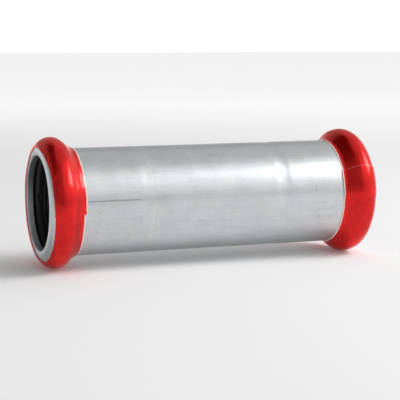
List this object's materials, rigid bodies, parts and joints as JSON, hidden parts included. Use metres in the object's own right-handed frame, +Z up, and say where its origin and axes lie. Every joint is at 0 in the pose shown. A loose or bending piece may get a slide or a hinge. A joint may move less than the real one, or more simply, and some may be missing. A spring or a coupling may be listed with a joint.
{
  "type": "press-fit slip coupling",
  "caption": "Straight steel slip coupling for press-fit pipe: a tube with a rounded seal bead at each open end and a thin red film shrunk over each bead.",
  "frame": {"origin": "middle of the coupling, on the pipe axis", "axes": "X along the pipe, with -X towards the left mouth, +Z up, -Y towards the viewer"},
  "size_m": [0.082, 0.0312, 0.031],
  "materials": {
    "zinc_plated_steel": "zinc plated, satin with drawing and rolling marks",
    "seal_rubber": "matt black moulded rubber with a light lubricant sheen",
    "indicator_film": "glossy red shrunk film"
  },
  "bodies": {
    "root": {"coupling_body": "zinc_plated_steel", "seal_ring_left": "seal_rubber", "seal_ring_right": "seal_rubber", "press_indicator_left": "indicator_film", "press_indicator_right": "indicator_film"}
  },
  "joints": []
}
